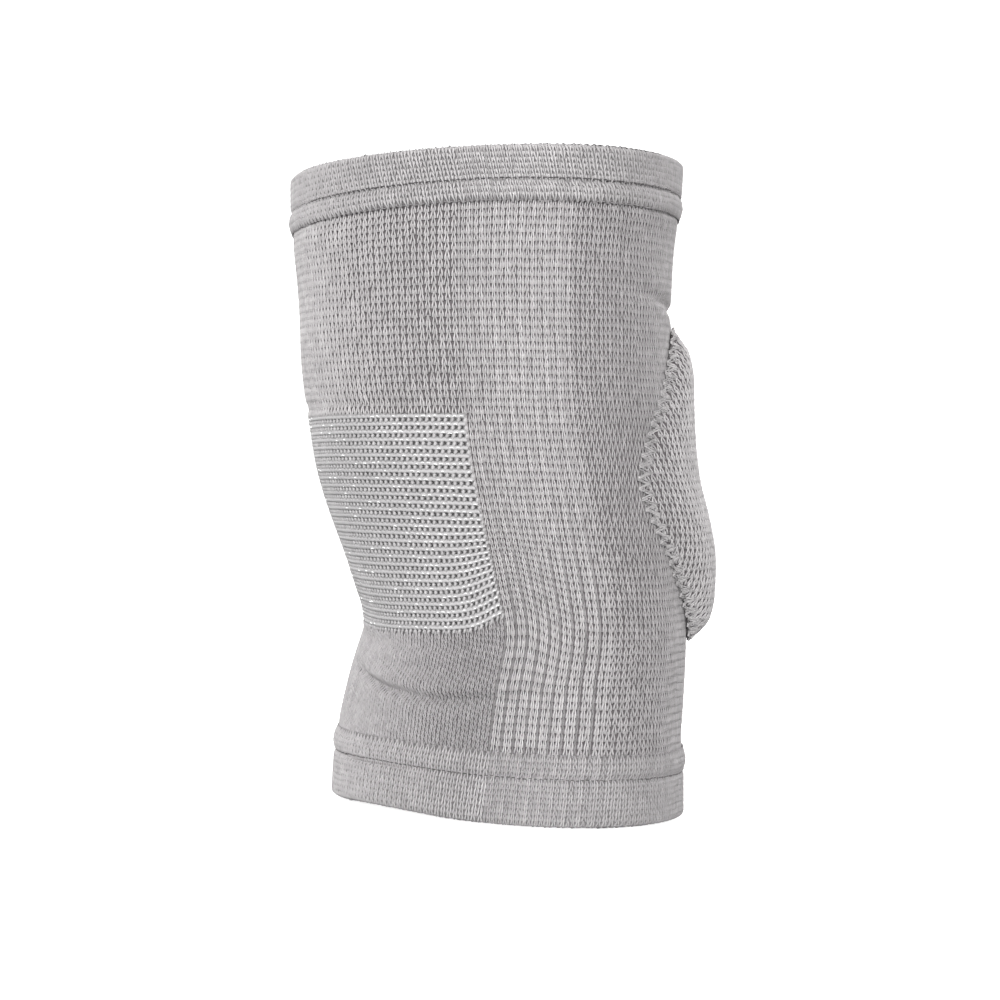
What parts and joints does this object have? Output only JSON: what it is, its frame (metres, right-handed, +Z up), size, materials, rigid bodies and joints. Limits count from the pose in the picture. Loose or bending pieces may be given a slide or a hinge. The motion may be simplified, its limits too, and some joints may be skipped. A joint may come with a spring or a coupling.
{
  "type": "knitted elbow pad",
  "caption": "Knitted elbow sleeve with folded elastic hems, an inner-elbow vent panel and a foam cap sewn over the elbow point, which bends with the arm.",
  "frame": {"origin": "centre of the forearm opening, in the plane of the lower rim", "axes": "+Z up the arm from the lower rim, +X towards the elbow point, Y along the axis the elbow bends about"},
  "size_m": [0.1355, 0.101, 0.1929],
  "materials": {
    "sleeve_knit": "eyelet knit in light grey yarn",
    "fine_knit": "tight fine knit in light grey yarn",
    "rib_knit": "ribbed knit in light grey yarn",
    "vent_knit": "open net knit in light grey yarn",
    "inlay_thread": "smooth white elastic thread",
    "cap_knit": "plain knit in light grey yarn",
    "thread": "fuzzy light grey sewing thread",
    "elastic": "woven elastic tape",
    "foam": "closed-cell foam",
    "comfort_foam": "soft open-cell foam",
    "lining": "smooth knitted lining"
  },
  "bodies": {
    "forearm": {"lower_sleeve": "sleeve_knit", "crease_panel": "fine_knit", "rib_panel_near": "rib_knit", "rib_panel_far": "rib_knit", "lower_cuff_hem": "sleeve_knit", "lower_cuff_elastic": "elastic", "lower_hem_edge_stitch": "thread", "lower_hem_band_stitch": "thread", "elbow_sleeve": "sleeve_knit", "vent_panel": "vent_knit", "vent_inlay_threads": "inlay_thread", "cap_cover": "cap_knit", "cap_foam_core": "foam", "cap_comfort_foam": "comfort_foam", "cap_lining": "lining", "cap_zigzag_seam": "thread"},
    "upper_arm": {"upper_sleeve": "sleeve_knit", "upper_cuff_hem": "sleeve_knit", "upper_cuff_elastic": "elastic", "upper_hem_edge_stitch": "thread", "upper_hem_band_stitch": "thread"}
  },
  "joints": [
    {"name": "elbow_flexion", "type": "hinge", "parent": "forearm", "child": "upper_arm", "pos_m": [0.005, 0, 0.092], "axis": [0, -1, 0], "range_deg": [-10, 45], "stiffness_Nm_per_rad": 0.6, "deforming": ["elbow_sleeve", "vent_panel", "vent_inlay_threads"]}
  ]
}
